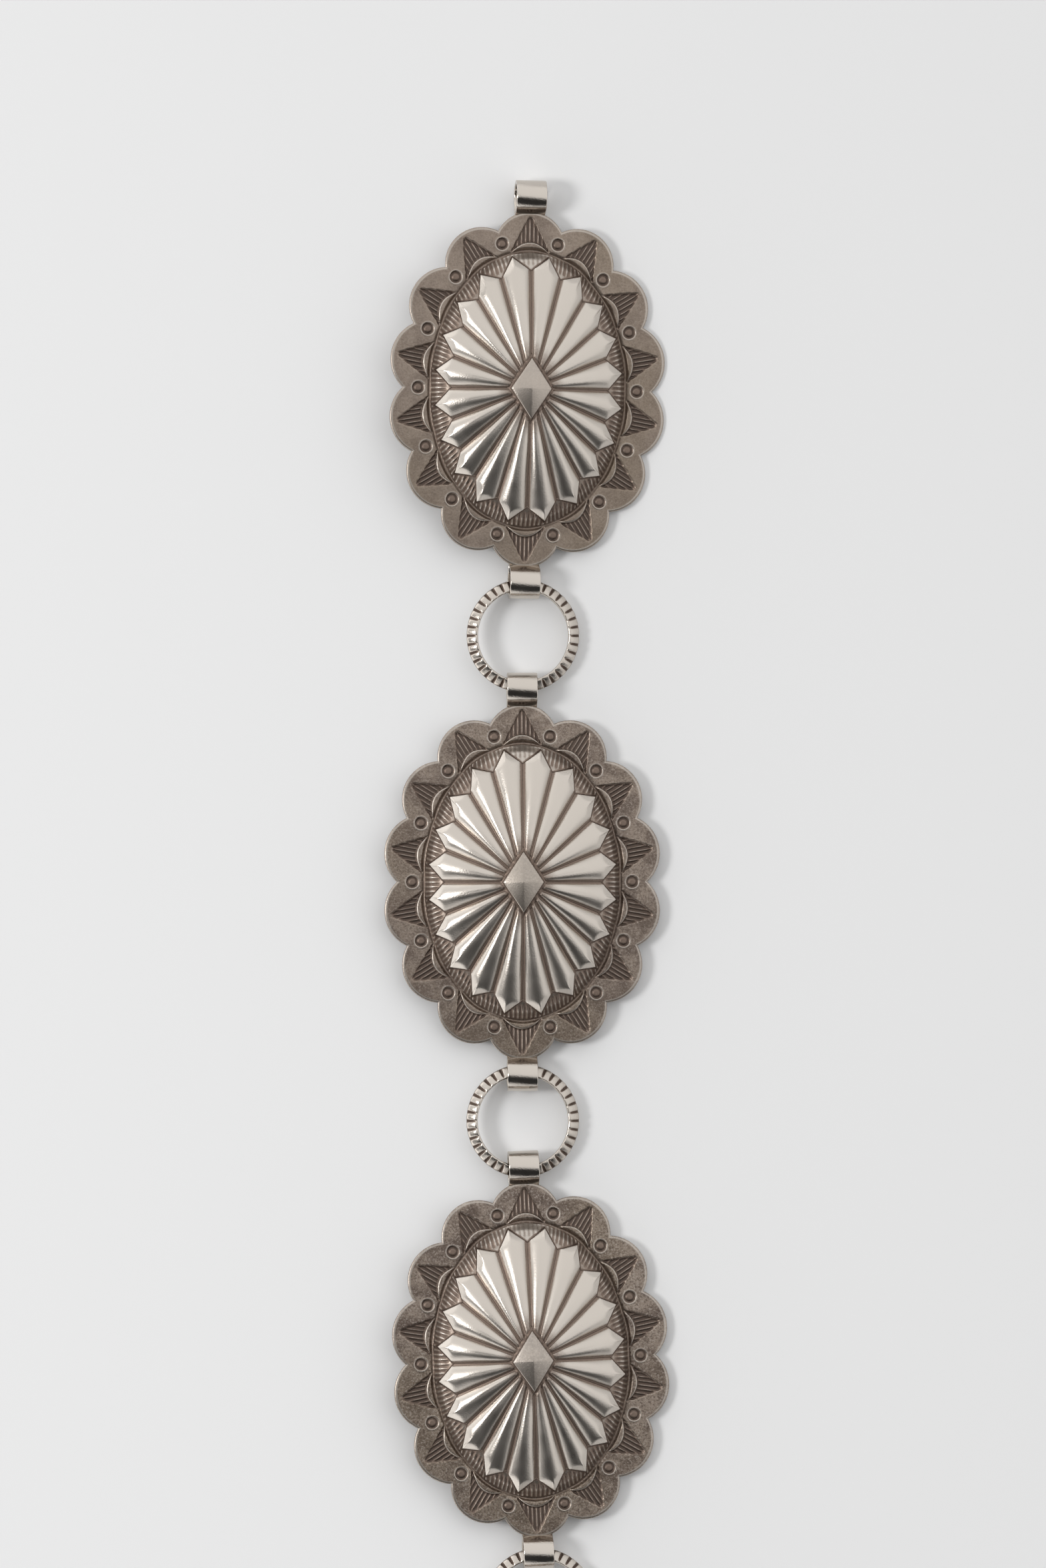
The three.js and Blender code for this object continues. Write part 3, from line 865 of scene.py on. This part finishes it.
def round_wire(path, radius):
    """A circle carried along a path of (along, up) points, shrinking as a ball does at the ends.

    At a distance t below r from an end, the radius r becomes r sqrt(1 - (1 - t / r)^2).
    """
    forward = directions(path)
    normal = np.stack([np.zeros(len(path)), -forward[:, 1], forward[:, 0]], axis=1)
    travelled = np.concatenate([[0.0], np.cumsum(length_of(np.diff(path, axis=0)))])
    from_end = np.minimum(travelled, travelled[-1] - travelled) / radius
    thin = radius * np.sqrt(1 - np.clip(1 - from_end, 0.0, 1.0) ** 2)
    angle = (2 * np.pi * np.arange(WIRE_SIDES) / WIRE_SIDES)[None, :, None]
    centre = np.concatenate([np.zeros((len(path), 1)), path], axis=1)
    ring = np.cos(angle) * np.array([1.0, 0.0, 0.0]) + np.sin(angle) * normal[:, None]
    rows = centre[1:-1, None] + ring[1:-1] * thin[1:-1, None, None]
    quads, triangles = skin(list(rows))
    return np.concatenate([centre[:1], rows.reshape(-1, 3), centre[-1:]]), quads, triangles


def wire_ring(ring_radius, wire_radius, steps):
    """A ring of round wire in the level plane: a circle carried round a circle."""
    turn, bend = np.meshgrid(2 * np.pi * np.arange(steps) / steps,
                             2 * np.pi * np.arange(WIRE_SIDES) / WIRE_SIDES)
    radius = ring_radius + wire_radius * np.cos(bend)
    up = wire_radius * np.sin(bend)
    points = np.stack([radius * np.cos(turn), radius * np.sin(turn), up], axis=-1)
    return points.reshape(-1, 3), closed_grid(WIRE_SIDES, steps)


print("a wire ring of 24 steps has", len(wire_ring(4.0, 1.0, 24)[1]), "quads")

# %% Shape of the hook
HOOK_WIRE = 1.8
HOOK_EYE_ROOM = 1.6
HOOK_EYE_RADIUS = BAIL_WIDTH / 2 + HOOK_WIRE / 2 + HOOK_EYE_ROOM
HOOK_SHANK = 7.5
HOOK_BEND = 2.6
HOOK_RETURN = 4.5
HOOK_FLARE = 1.2
HOOK_STEPS = 110
EYE_STEPS = 72


def hook_part():
    """The hook in its own frame: a ring in the level plane and a bent wire in the upright one."""
    bend = np.radians(np.linspace(-90.0, -270.0, 24))
    start, end = -HOOK_EYE_RADIUS - HOOK_SHANK, HOOK_BEND * 2
    path = np.concatenate([
        [(-HOOK_EYE_RADIUS, 0.0)],
        np.stack([start + HOOK_BEND * np.cos(bend), end / 2 + HOOK_BEND * np.sin(bend)], axis=1),
        [(start + HOOK_RETURN, end), (start + HOOK_RETURN + HOOK_FLARE, end + HOOK_FLARE)],
    ])
    path = smoothed(even_steps(path, HOOK_STEPS), 4)
    points, quads, triangles = round_wire(path, HOOK_WIRE / 2)
    eye, eye_quads = wire_ring(HOOK_EYE_RADIUS, HOOK_WIRE / 2, EYE_STEPS)
    worn = dict(PLAIN_MARKS, polish=0.6)
    return dict(
        points=np.concatenate([points, eye]),
        quads=np.concatenate([quads, eye_quads + len(points)]),
        triangles=triangles,
        marks={name: np.full(len(points) + len(eye), value) for name, value in worn.items()},
        finish=0,
    )


print("hook of", len(hook_part()["points"]), "points")

# %% Place of the hook
HOOK_DROP = 0.6


def place_of_hook():
    """The eye rests in the last bail, and the bend of the hook lies on the ground."""
    origin, axes = concho_places[conchos[-1]]
    bore = origin + np.array([0.0, -BORE_REACH, BORE_HEIGHT]) @ axes
    height = bore[2] - HOOK_DROP
    pitch = math.asin((height - HOOK_WIRE / 2) / (HOOK_EYE_RADIUS * 2 + HOOK_SHANK + HOOK_BEND))
    along = np.array([0.0, math.cos(pitch), math.sin(pitch)])
    up = np.array([0.0, -math.sin(pitch), math.cos(pitch)])
    centre = np.array([bore[0], bore[1], height]) - HOOK_EYE_RADIUS * along
    return centre, np.array([[1.0, 0.0, 0.0], along, up])


print("hook eye at", place_of_hook()[0].round(3))

# %% [markdown]
# ## Old silver
#
# Silver is a bright metal, and its age shows in the oxide that stays where no cloth reaches. One
# group of nodes works this out for every piece: the marks on the mesh say how much oxide a point
# keeps and how often it has been rubbed. Noises of four sizes break this up, from fine speckle to
# broad patches of yellow. Another group draws the lines that are too fine for the mesh.

# %% Small helpers for nodes
def node_of(tree, kind, **settings):
    """A new node with its settings."""
    node = tree.nodes.new(kind)
    for name, value in settings.items():
        setattr(node, name, value)
    return node


def math_of(tree, operation, a, b=0.0, clamp=False):
    """A Math node whose inputs are numbers or sockets."""
    node = node_of(tree, "ShaderNodeMath", operation=operation, use_clamp=clamp)
    for socket, value in zip(node.inputs, (a, b)):
        if isinstance(value, (int, float)):
            socket.default_value = value
        else:
            tree.links.new(value, socket)
    return node.outputs[0]


def noise_of(tree, where, scale, detail, roughness):
    """Values about 1/2 of a Noise Texture, which has so many features in a metre."""
    noise = node_of(tree, "ShaderNodeTexNoise")
    tree.links.new(where, noise.inputs["Vector"])
    noise.inputs["Scale"].default_value = scale
    noise.inputs["Detail"].default_value = detail
    noise.inputs["Roughness"].default_value = roughness
    return noise.outputs["Fac"]


def ramp_of(tree, fac, low, high):
    """A smooth step of a value, as a Map Range node."""
    step = node_of(tree, "ShaderNodeMapRange", interpolation_type="SMOOTHSTEP")
    tree.links.new(fac, step.inputs["Value"])
    step.inputs["From Min"].default_value = low
    step.inputs["From Max"].default_value = high
    return step.outputs["Result"]


def colour_mix(tree, fac, a, b):
    """A colour Mix node whose colours are given or come from sockets."""
    node = node_of(tree, "ShaderNodeMix", data_type="RGBA")
    tree.links.new(fac, node.inputs["Factor"])
    for socket, value in ((node.inputs[6], a), (node.inputs[7], b)):
        if isinstance(value, tuple):
            socket.default_value = (*value, 1.0)
        else:
            tree.links.new(value, socket)
    return node.outputs[2]


def new_group(name, inputs, outputs):
    """An empty group with number inputs, its outputs by kind, and both ends of its nodes."""
    group = bpy.data.node_groups.new(name, "ShaderNodeTree")
    for given in inputs:
        group.interface.new_socket(name=given, in_out="INPUT", socket_type="NodeSocketFloat")
    for result, kind in outputs.items():
        group.interface.new_socket(name=result, in_out="OUTPUT", socket_type="NodeSocket" + kind)
    given = node_of(group, "NodeGroupInput").outputs
    return group, given, node_of(group, "NodeGroupOutput").inputs


print("helpers for nodes:", ", ".join(f.__name__ for f in (math_of, noise_of, ramp_of, colour_mix)))

# %% Colour of old silver
NOISES = dict(
    speckle=(2600.0, 2.0, 0.8),
    patch=(220.0, 2.0, 0.6),
    drift=(38.0, 1.0, 0.5),
    pores=(4200.0, 0.0, 0.5),
)
SATIN = (0.312, 0.254, 0.209)
STAINED = (0.150, 0.115, 0.096)
GOLDEN = (0.252, 0.201, 0.145)
DARK_GRAIN = (0.100, 0.076, 0.063)
GLINT = (0.440, 0.385, 0.340)
POLISHED = (0.600, 0.550, 0.495)
BROWN_OXIDE = (0.225, 0.171, 0.139)
BLACK_OXIDE = (0.108, 0.081, 0.067)


def silver_colour(group, given, noises, rubbed, brown, black):
    """Satin, stained and yellowed in patches, grained, then polished or covered by oxide."""
    age, speckle = given["Age"], noises["speckle"]
    stain = math_of(group, "MULTIPLY", ramp_of(group, noises["patch"], 0.36, 0.66),
                    math_of(group, "ADD", age, 0.25))
    satin = colour_mix(group, stain, SATIN, STAINED)
    yellow = math_of(group, "MULTIPLY", ramp_of(group, noises["drift"], 0.45, 0.65),
                     given["Warmth"])
    golden = colour_mix(group, yellow, satin, GOLDEN)
    worn = math_of(group, "ADD", math_of(group, "MULTIPLY", age, 0.8), 0.12)
    dotted = math_of(group, "MULTIPLY", ramp_of(group, speckle, 0.51, 0.64), worn)
    glints = math_of(group, "MULTIPLY", ramp_of(group, speckle, 0.47, 0.34), worn)
    grain = colour_mix(group, glints, colour_mix(group, dotted, golden, DARK_GRAIN), GLINT)
    bright = colour_mix(group, rubbed, grain, POLISHED)
    return colour_mix(group, black, colour_mix(group, brown, bright, BROWN_OXIDE), BLACK_OXIDE)


print("noises in the silver:", ", ".join(NOISES))

# %% Group: aged silver
PLAIN_ROUGHNESS = 0.42


def make_aged_silver():
    """Group from the marks, Warmth and Gloss to a colour, a roughness and a fine relief."""
    group, given, result = new_group(
        "aged silver", ("Oxide", "Polish", "Age", "Warmth", "Gloss"),
        dict(Color="Color", Roughness="Float", Relief="Float"))
    where = node_of(group, "ShaderNodeTexCoord").outputs["Object"]
    noises = {name: noise_of(group, where, *sizes) for name, sizes in NOISES.items()}

    broken = math_of(group, "MULTIPLY", math_of(group, "SUBTRACT", noises["speckle"], 0.5), 0.7)
    oxide = math_of(group, "MULTIPLY", given["Oxide"], math_of(group, "ADD", broken, 1.0))
    brown = ramp_of(group, oxide, 0.06, 0.46)
    black = ramp_of(group, oxide, 0.50, 0.95)
    hidden = math_of(group, "MULTIPLY", brown, 0.6)
    rubbed = math_of(group, "SUBTRACT", given["Polish"], hidden, clamp=True)
    group.links.new(silver_colour(group, given, noises, rubbed, brown, black), result["Color"])

    uneven = math_of(group, "MULTIPLY", math_of(group, "SUBTRACT", noises["patch"], 0.5), 0.16)
    gloss = math_of(group, "MULTIPLY", rubbed, given["Gloss"])
    rough = math_of(group, "ADD", math_of(group, "SUBTRACT", PLAIN_ROUGHNESS, gloss), uneven)
    rough = math_of(group, "ADD", rough, math_of(group, "MULTIPLY", brown, 0.08))
    group.links.new(rough, result["Roughness"])
    relief = math_of(group, "ADD", math_of(group, "MULTIPLY", noises["pores"], 2.0),
                     math_of(group, "MULTIPLY", noises["patch"], 6.0))
    group.links.new(relief, result["Relief"])
    return group


aged_silver = make_aged_silver()
print("group", aged_silver.name, "of", len(aged_silver.nodes), "nodes")


# %% Group: the fine lines of the punches
FURROW_SHARPNESS = 5.0
SEAM_OXIDE = 0.85


def make_punch_lines():
    """Group from the marks to crisp furrows: between ridges at whole turns, and along a seam."""
    group, given, result = new_group(
        "punch lines", ("Turns", "Hatched", "Seam"), dict(Furrow="Float"))
    wave = math_of(group, "COSINE", math_of(group, "MULTIPLY", given["Turns"], 2 * math.pi))
    half = math_of(group, "ADD", math_of(group, "MULTIPLY", wave, 0.5), 0.5)
    ridge = math_of(group, "POWER", half, FURROW_SHARPNESS)
    furrow = math_of(group, "MULTIPLY", math_of(group, "SUBTRACT", 1.0, ridge), given["Hatched"])
    off_seam = ramp_of(group, given["Seam"], 0.02, 0.15)
    seam = math_of(group, "MULTIPLY", math_of(group, "SUBTRACT", 1.0, off_seam), SEAM_OXIDE)
    group.links.new(math_of(group, "MAXIMUM", furrow, seam), result["Furrow"])
    return group


punch_lines = make_punch_lines()
print("group", punch_lines.name, "of", len(punch_lines.nodes), "nodes")


# %% Silver materials
RELIEF = 0.000006
FURROW_IN_RELIEFS = 8.0


def silver_material(name, warmth, gloss):
    """Old silver of one kind: how golden its tarnish is, and how smooth rubbing made it."""
    material = bpy.data.materials.new(name)
    material.use_nodes = True
    tree = material.node_tree
    metal = tree.nodes["Principled BSDF"]
    metal.inputs["Metallic"].default_value = 1.0
    marks = {}
    for mark in ("oxide", "polish", "turns", "hatched", "seam", "age"):
        marks[mark] = node_of(tree, "ShaderNodeAttribute", attribute_name=mark).outputs["Fac"]
    lines = node_of(tree, "ShaderNodeGroup", node_tree=punch_lines)
    for mark in ("turns", "hatched", "seam"):
        tree.links.new(marks[mark], lines.inputs[mark.capitalize()])
    aged = node_of(tree, "ShaderNodeGroup", node_tree=aged_silver)
    aged.inputs["Warmth"].default_value = warmth
    aged.inputs["Gloss"].default_value = gloss
    dark = math_of(tree, "MAXIMUM", marks["oxide"], lines.outputs["Furrow"])
    tree.links.new(dark, aged.inputs["Oxide"])
    tree.links.new(marks["polish"], aged.inputs["Polish"])
    tree.links.new(marks["age"], aged.inputs["Age"])
    bump = node_of(tree, "ShaderNodeBump")
    bump.inputs["Strength"].default_value = 1.0
    bump.inputs["Distance"].default_value = RELIEF
    depth = math_of(tree, "MULTIPLY", lines.outputs["Furrow"], FURROW_IN_RELIEFS)
    tree.links.new(math_of(tree, "SUBTRACT", aged.outputs["Relief"], depth), bump.inputs["Height"])
    tree.links.new(bump.outputs["Normal"], metal.inputs["Normal"])
    tree.links.new(aged.outputs["Color"], metal.inputs["Base Color"])
    tree.links.new(aged.outputs["Roughness"], metal.inputs["Roughness"])
    return material


stamped_silver = silver_material("stamped silver", warmth=0.4, gloss=0.11)
polished_strip = silver_material("polished strip silver", warmth=0.3, gloss=0.25)
filed_wire = silver_material("filed wire silver", warmth=0.4, gloss=0.18)
print("materials:", ", ".join(made.name for made in (stamped_silver, polished_strip, filed_wire)))

# %% [markdown]
# ## Laying the belt
#
# The three conchos that the view shows, and the links there, are made at the finest detail. The
# others are half as fine, which saves three quarters of a concho's faces. Silver tarnishes
# unevenly, so each of the three has its own age, and the rest of the belt is about as old as the
# second. The hook goes into the last bail at the other end.

# %% Make the conchos
IN_VIEW = 3
AGES = (0.15, 0.5, 0.7)
USUAL_AGE = 0.5


def laid_part(part, place, age):
    """A part carried to its place, with its age as one more mark."""
    marks = dict(part["marks"], age=np.full(len(part["points"]), age))
    return dict(part, points=laid_out(part["points"], place), marks=marks)


total = 0
for number, name in enumerate(conchos):
    age = AGES[number] if number < len(AGES) else USUAL_AGE
    skin_part = shapes[1 if number < IN_VIEW else 2]
    parts = [laid_part(part, concho_places[name], age) for part in [skin_part] + bails]
    piece, faces = add_piece("silver_" + name, parts, [stamped_silver, polished_strip])
    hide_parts(name)
    total += faces
print("conchos:", total, "triangles")

# %% Make the links and the hook
CUT_STEPS = (12, 6)
for number, name in enumerate(links):
    shape = link_part(CUT_STEPS[0 if number < IN_VIEW else 1])
    part = laid_part(shape, link_places[name], USUAL_AGE)
    piece, faces = add_piece("filed_" + name, [part], [filed_wire])
    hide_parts(name)
    total += faces
print("with the links:", total, "triangles")

hook = laid_part(hook_part(), place_of_hook(), USUAL_AGE)
piece, faces = add_piece("wire_hook", [hook], [filed_wire])
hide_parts("hook")
print("with the hook:", total + faces, "triangles")

# %% [markdown]
# ## Floor, light and camera
#
# The belt lies on a plain pale ground, and the camera looks straight down on its first three
# conchos. Polished silver shows mostly what it mirrors, so the room matters more than the lamp. A
# soft round key from the left throws the shadows. The sky of the studio is pale overhead and
# towards the far end, and it has a dark band on the near side, which gives the near petals their
# dark cores. A pale horizon runs all round, brightest on the left where a window would be.

# %% Floor
GROUND_COLOUR = (0.87, 0.87, 0.87, 1.0)
GROUND_SIZE = 6.0
bpy.ops.mesh.primitive_plane_add(size=GROUND_SIZE, location=(0.0, 0.0, 0.0))
floor = bpy.context.object
floor.name = "floor"
ground = bpy.data.materials.new("pale ground")
ground.use_nodes = True
paper = ground.node_tree.nodes["Principled BSDF"]
paper.inputs["Base Color"].default_value = GROUND_COLOUR
paper.inputs["Roughness"].default_value = 0.9
floor.data.materials.append(ground)
print(ground.name, GROUND_SIZE, "m wide")

# %% Camera
PHOTO = (1568, 2351)
PIXELS_PER_MM = 8.11
first = concho_places["concho_1"][0]
CONCHO_1_IN_PHOTO = (787.8, 585.0)
view_x = first[0] + (PHOTO[0] / 2 - CONCHO_1_IN_PHOTO[0]) / PIXELS_PER_MM
view_y = first[1] + (CONCHO_1_IN_PHOTO[1] - PHOTO[1] / 2) / PIXELS_PER_MM
CAMERA_HEIGHT = 2.2
camera_data = bpy.data.cameras.new("camera")
camera = bpy.data.objects.new("camera", camera_data)
bpy.context.scene.collection.objects.link(camera)
camera.location = (view_x * MM, view_y * MM, CAMERA_HEIGHT)
camera_data.sensor_fit = "VERTICAL"
camera_data.angle_y = 2 * math.atan(PHOTO[1] / PIXELS_PER_MM * MM / 2 / CAMERA_HEIGHT)
camera_data.clip_end = 20.0
bpy.context.scene.camera = camera
print("camera over", round(view_x, 1), round(view_y, 1), "mm")


# %% Key light
def soft_light(name, compass, from_zenith, distance, size, power):
    """A round soft light, placed by its compass bearing from +Y and its angle from straight up."""
    data = bpy.data.lights.new(name, "AREA")
    data.shape = "DISK"
    data.size = size
    data.energy = power
    light = bpy.data.objects.new(name, data)
    bpy.context.scene.collection.objects.link(light)
    bearing, lean = math.radians(compass), math.radians(from_zenith)
    aside = math.sin(lean)
    direction = np.array([aside * math.sin(bearing), aside * math.cos(bearing), math.cos(lean)])
    light.location = np.array([view_x * MM, view_y * MM, 0.0]) + direction * distance
    light.rotation_euler = (lean, 0.0, math.pi - bearing)
    return light


key = soft_light("key", compass=-90.0, from_zenith=45.0, distance=1.6, size=0.46, power=9.2)
print("key light", round(key.location.z, 2), "m up")

# %% Sky of the studio
SKY_AXIS = (0.45, 0.89, 0.0)
SKY = (
    (0.0, 0.9), (0.07, 0.8), (0.13, 0.03), (0.38, 0.03), (0.44, 0.32),
    (0.49, 0.85), (0.56, 1.0), (0.66, 1.02), (1.0, 1.05),
)
EAST, WEST = 0.75, 1.9
HORIZON = (0.42, 0.12)
world = bpy.data.worlds.new("studio")
bpy.context.scene.world = world
world.use_nodes = True
sky = world.node_tree
looking = node_of(sky, "ShaderNodeTexCoord").outputs["Generated"]
along_axis = node_of(sky, "ShaderNodeVectorMath", operation="DOT_PRODUCT")
along_axis.inputs[1].default_value = SKY_AXIS
sky.links.new(looking, along_axis.inputs[0])
share = math_of(sky, "ADD", math_of(sky, "MULTIPLY", along_axis.outputs["Value"], 0.5), 0.5)
glow = node_of(sky, "ShaderNodeValToRGB")
sky.links.new(share, glow.inputs["Fac"])
while len(glow.color_ramp.elements) < len(SKY):
    glow.color_ramp.elements.new(0.5)
for element, (position, level) in zip(glow.color_ramp.elements, SKY):
    element.position = position
    element.color = (level, level, level, 1.0)
direction = node_of(sky, "ShaderNodeSeparateXYZ")
sky.links.new(looking, direction.inputs[0])
low_down = ramp_of(sky, direction.outputs["Z"], *HORIZON)
window = colour_mix(sky, ramp_of(sky, direction.outputs["X"], 0.3, -0.8), (EAST,) * 3, (WEST,) * 3)
lit = colour_mix(sky, low_down, glow.outputs["Color"], window)
sky.links.new(lit, sky.nodes["Background"].inputs["Color"])
sky.nodes["Background"].inputs["Strength"].default_value = 1.0
bpy.context.scene.view_settings.view_transform = "Standard"
print("sky of", len(SKY), "levels, horizon from", EAST, "to", WEST)
